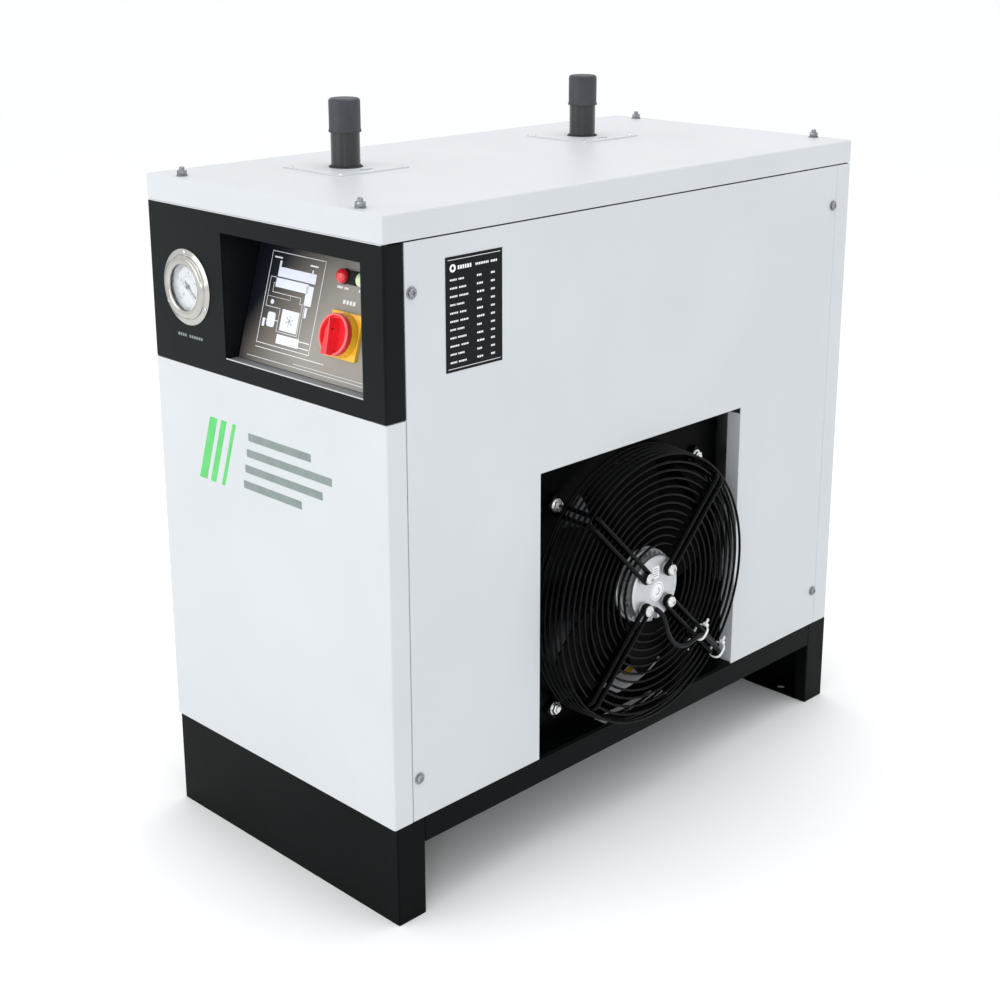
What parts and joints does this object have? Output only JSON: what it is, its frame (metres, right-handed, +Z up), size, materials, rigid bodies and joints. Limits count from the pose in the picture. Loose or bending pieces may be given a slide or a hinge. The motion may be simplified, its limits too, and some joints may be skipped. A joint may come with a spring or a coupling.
{
  "type": "refrigerated air dryer",
  "caption": "Cabinet air dryer with a sloped control panel, capped air pipes on its lid and a condenser fan behind a wire guard in one side.",
  "frame": {"origin": "on the floor, under the middle of the cabinet and of its four anchor holes", "axes": "+X towards the fan side, -Y towards the front with the controls, +Z up along the air pipes"},
  "size_m": [0.4403, 0.8402, 0.859],
  "materials": {
    "black_powder": "satin powder coat",
    "white_powder": "fine textured powder coat",
    "zinc_steel": "zinc plated",
    "panel_print": "satin printed overlay",
    "pipe_black": "satin",
    "cap_plastic": "matt",
    "black_rubber": "matt",
    "screw_steel": "stainless",
    "label_black": "satin foil",
    "gauge_steel": "polished",
    "dial_white": "matt",
    "needle_black": "matt",
    "clear_glass": "clear",
    "yellow_plastic": "gloss",
    "red_plastic": "gloss",
    "lamp_red_lens": "clear tinted",
    "lamp_green_lens": "clear tinted",
    "black_plastic": "satin",
    "guard_wire": "gloss coat",
    "cast_alu": "as cast",
    "fan_black": "satin",
    "cable_black": "satin",
    "tie_white": "satin",
    "fin_alu": "fins",
    "insulation": "foam",
    "brass": "machined",
    "hose_blue": "tube",
    "copper": "drawn tube"
  },
  "bodies": {
    "root": {"base_front_foot": "black_powder", "base_rear_foot": "black_powder", "base_rail_right": "black_powder", "base_rail_left": "black_powder", "base_deck": "black_powder", "corner_posts": "zinc_steel", "top_rails": "zinc_steel", "front_panel": "white_powder", "control_fascia": "black_powder", "control_pocket": "black_powder", "instrument_panel": "panel_print", "side_panel_right": "white_powder", "side_panel_left": "white_powder", "rear_panel": "white_powder", "lid": "white_powder", "port_plates": "white_powder", "port_plate_screws": "screw_steel", "pipe_grommets": "black_rubber", "inlet_pipe": "pipe_black", "outlet_pipe": "pipe_black", "lid_bolts": "screw_steel", "panel_screws": "screw_steel", "rating_plate": "label_black", "gauge_case": "black_plastic", "gauge_bezel": "gauge_steel", "gauge_dial": "dial_white", "gauge_lens": "clear_glass", "gauge_screws": "screw_steel", "switch_plate": "yellow_plastic", "switch_body": "black_plastic", "lamp_red": "lamp_red_lens", "lamp_green": "lamp_green_lens", "lamp_sockets": "black_plastic", "fan_shroud": "fan_black", "fan_guard": "guard_wire", "fan_guard_bolts": "screw_steel", "fan_motor": "cast_alu", "fan_hub_bolts": "screw_steel", "fan_lead": "cable_black", "cable_ties": "tie_white", "condenser": "fin_alu", "compressor": "black_powder", "compressor_mounts": "black_rubber", "heat_exchanger": "insulation", "heat_exchanger_brackets": "zinc_steel", "moisture_separator": "cast_alu", "drain_valve": "brass", "drain_hose": "hose_blue", "drain_outlet": "brass", "filter_drier": "copper", "hot_gas_valve": "brass", "refrigerant_lines": "copper", "fan_pressure_switch": "black_plastic", "electrical_box": "zinc_steel", "cable_gland": "black_plastic"},
    "fan_rotor": {"fan_rotor": "fan_black"},
    "switch_knob": {"switch_knob": "red_plastic"},
    "gauge_needle": {"gauge_needle": "needle_black"},
    "inlet_cap": {"inlet_cap": "cap_plastic"},
    "outlet_cap": {"outlet_cap": "cap_plastic"}
  },
  "joints": [
    {"name": "fan_spin", "type": "hinge", "parent": "root", "child": "fan_rotor", "pos_m": [0.15, 0.004, 0.282], "axis": [1, 0, 0], "continuous": true},
    {"name": "switch_turn", "type": "hinge", "parent": "root", "child": "switch_knob", "pos_m": [0.104, -0.36895, 0.6394], "axis": [0, 0.9595, -0.2817], "range_deg": [0, 90]},
    {"name": "gauge_reading", "type": "hinge", "parent": "root", "child": "gauge_needle", "pos_m": [-0.131, -0.4, 0.66], "axis": [0, 1, 0], "range_deg": [-267, 3]},
    {"name": "inlet_cap_pull", "type": "slide", "parent": "root", "child": "inlet_cap", "axis": [0, 0, 1], "range_m": [0, 0.06]},
    {"name": "outlet_cap_pull", "type": "slide", "parent": "root", "child": "outlet_cap", "axis": [0, 0, 1], "range_m": [0, 0.06]}
  ]
}
